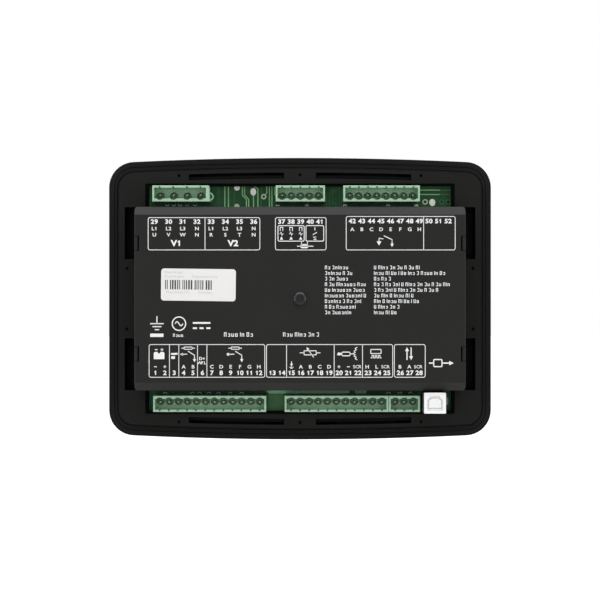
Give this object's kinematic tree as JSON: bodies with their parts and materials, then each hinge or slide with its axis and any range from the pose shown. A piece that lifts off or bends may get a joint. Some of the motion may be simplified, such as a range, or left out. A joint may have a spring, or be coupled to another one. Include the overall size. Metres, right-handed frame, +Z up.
{
  "type": "genset controller",
  "caption": "Panel-mounted generating-set controller: bowed bezel with display and push keys in front, rear case with plug-in terminal headers and a clipped cover.",
  "frame": {"origin": "middle of the panel cut-out, on the flange face that seats against the panel", "axes": "+X right as seen from behind, +Y towards the front, +Z up"},
  "size_m": [0.216, 0.0432, 0.1592],
  "materials": {
    "bezel_plastic": "fine moulded grain",
    "case_plastic": "fine moulded grain",
    "cover_plastic": "fine moulded grain, white print",
    "facia_film": "textured film",
    "clear_window": "polished",
    "display_glass": "polarised glass",
    "sheet_metal": "tinned",
    "board_green": "solder resist",
    "zinc_screw": "zinc plated",
    "black_plastic": "moulded",
    "lamp_plastic": "clear epoxy",
    "light_pipe": "clear acrylic",
    "key_red": "moulded",
    "key_green": "moulded",
    "key_grey": "moulded",
    "header_green": "moulded",
    "pin_tin": "tin plated",
    "usb_white": "moulded",
    "gold_contact": "gold flash",
    "relay_blue": "moulded",
    "capacitor_sleeve": "shrink sleeve",
    "chip_black": "moulded epoxy",
    "cell_steel": "nickel plated",
    "ferrite": "wound and varnished",
    "varistor_blue": "dipped epoxy",
    "post_brass": "turned",
    "screw_black": "black",
    "label_paper": "coated paper"
  },
  "bodies": {
    "housing": {"front_bezel": "bezel_plastic", "facia": "facia_film", "display_window": "clear_window", "lcd_panel": "display_glass", "lcd_frame": "sheet_metal", "display_board": "board_green", "display_board_screws": "zinc_screw", "tact_switches": "black_plastic", "status_leds": "lamp_plastic", "led_lenses": "light_pipe", "board_link_plug": "black_plastic", "board_link_socket": "black_plastic", "main_board": "board_green", "main_board_screws": "zinc_screw", "header_01_12": "header_green", "header_01_12_pins": "pin_tin", "header_15_25": "header_green", "header_15_25_pins": "pin_tin", "header_26_28": "header_green", "header_26_28_pins": "pin_tin", "header_29_32": "header_green", "header_29_32_pins": "pin_tin", "header_37_41": "header_green", "header_37_41_pins": "pin_tin", "header_42_49": "header_green", "header_42_49_pins": "pin_tin", "usb_socket": "usb_white", "usb_contacts": "gold_contact", "usb_shield": "sheet_metal", "relays": "relay_blue", "capacitors": "capacitor_sleeve", "current_transformers": "black_plastic", "processor": "chip_black", "logic_chips": "chip_black", "crystal": "sheet_metal", "coin_cell": "cell_steel", "coin_cell_holder": "black_plastic", "choke": "ferrite", "varistors": "varistor_blue", "rear_case": "case_plastic", "rear_cover": "cover_plastic", "cover_post": "post_brass", "cover_screw": "screw_black", "serial_label": "label_paper"},
    "key_stop": {"key_stop": "key_red"},
    "key_manual": {"key_manual": "key_grey"},
    "key_auto": {"key_auto": "key_grey"},
    "key_mute": {"key_mute": "key_grey"},
    "key_start": {"key_start": "key_green"},
    "key_breaker_open": {"key_breaker_open": "key_grey"},
    "key_breaker_close": {"key_breaker_close": "key_grey"},
    "key_up": {"key_up": "key_grey"},
    "key_down": {"key_down": "key_grey"},
    "key_left": {"key_left": "key_grey"},
    "key_right": {"key_right": "key_grey"},
    "key_enter": {"key_enter": "key_grey"}
  },
  "joints": [
    {"name": "key_stop_press", "type": "slide", "parent": "housing", "child": "key_stop", "axis": [0, -1, 0], "range_m": [0, 0.001], "stiffness_N_per_m": 1200},
    {"name": "key_manual_press", "type": "slide", "parent": "housing", "child": "key_manual", "axis": [0, -1, 0], "range_m": [0, 0.001], "stiffness_N_per_m": 1200},
    {"name": "key_auto_press", "type": "slide", "parent": "housing", "child": "key_auto", "axis": [0, -1, 0], "range_m": [0, 0.001], "stiffness_N_per_m": 1200},
    {"name": "key_mute_press", "type": "slide", "parent": "housing", "child": "key_mute", "axis": [0, -1, 0], "range_m": [0, 0.001], "stiffness_N_per_m": 1200},
    {"name": "key_start_press", "type": "slide", "parent": "housing", "child": "key_start", "axis": [0, -1, 0], "range_m": [0, 0.001], "stiffness_N_per_m": 1200},
    {"name": "key_breaker_open_press", "type": "slide", "parent": "housing", "child": "key_breaker_open", "axis": [0, -1, 0], "range_m": [0, 0.001], "stiffness_N_per_m": 1200},
    {"name": "key_breaker_close_press", "type": "slide", "parent": "housing", "child": "key_breaker_close", "axis": [0, -1, 0], "range_m": [0, 0.001], "stiffness_N_per_m": 1200},
    {"name": "key_up_press", "type": "slide", "parent": "housing", "child": "key_up", "axis": [0, -1, 0], "range_m": [0, 0.001], "stiffness_N_per_m": 1200},
    {"name": "key_down_press", "type": "slide", "parent": "housing", "child": "key_down", "axis": [0, -1, 0], "range_m": [0, 0.001], "stiffness_N_per_m": 1200},
    {"name": "key_left_press", "type": "slide", "parent": "housing", "child": "key_left", "axis": [0, -1, 0], "range_m": [0, 0.001], "stiffness_N_per_m": 1200},
    {"name": "key_right_press", "type": "slide", "parent": "housing", "child": "key_right", "axis": [0, -1, 0], "range_m": [0, 0.001], "stiffness_N_per_m": 1200},
    {"name": "key_enter_press", "type": "slide", "parent": "housing", "child": "key_enter", "axis": [0, -1, 0], "range_m": [0, 0.001], "stiffness_N_per_m": 1200}
  ]
}
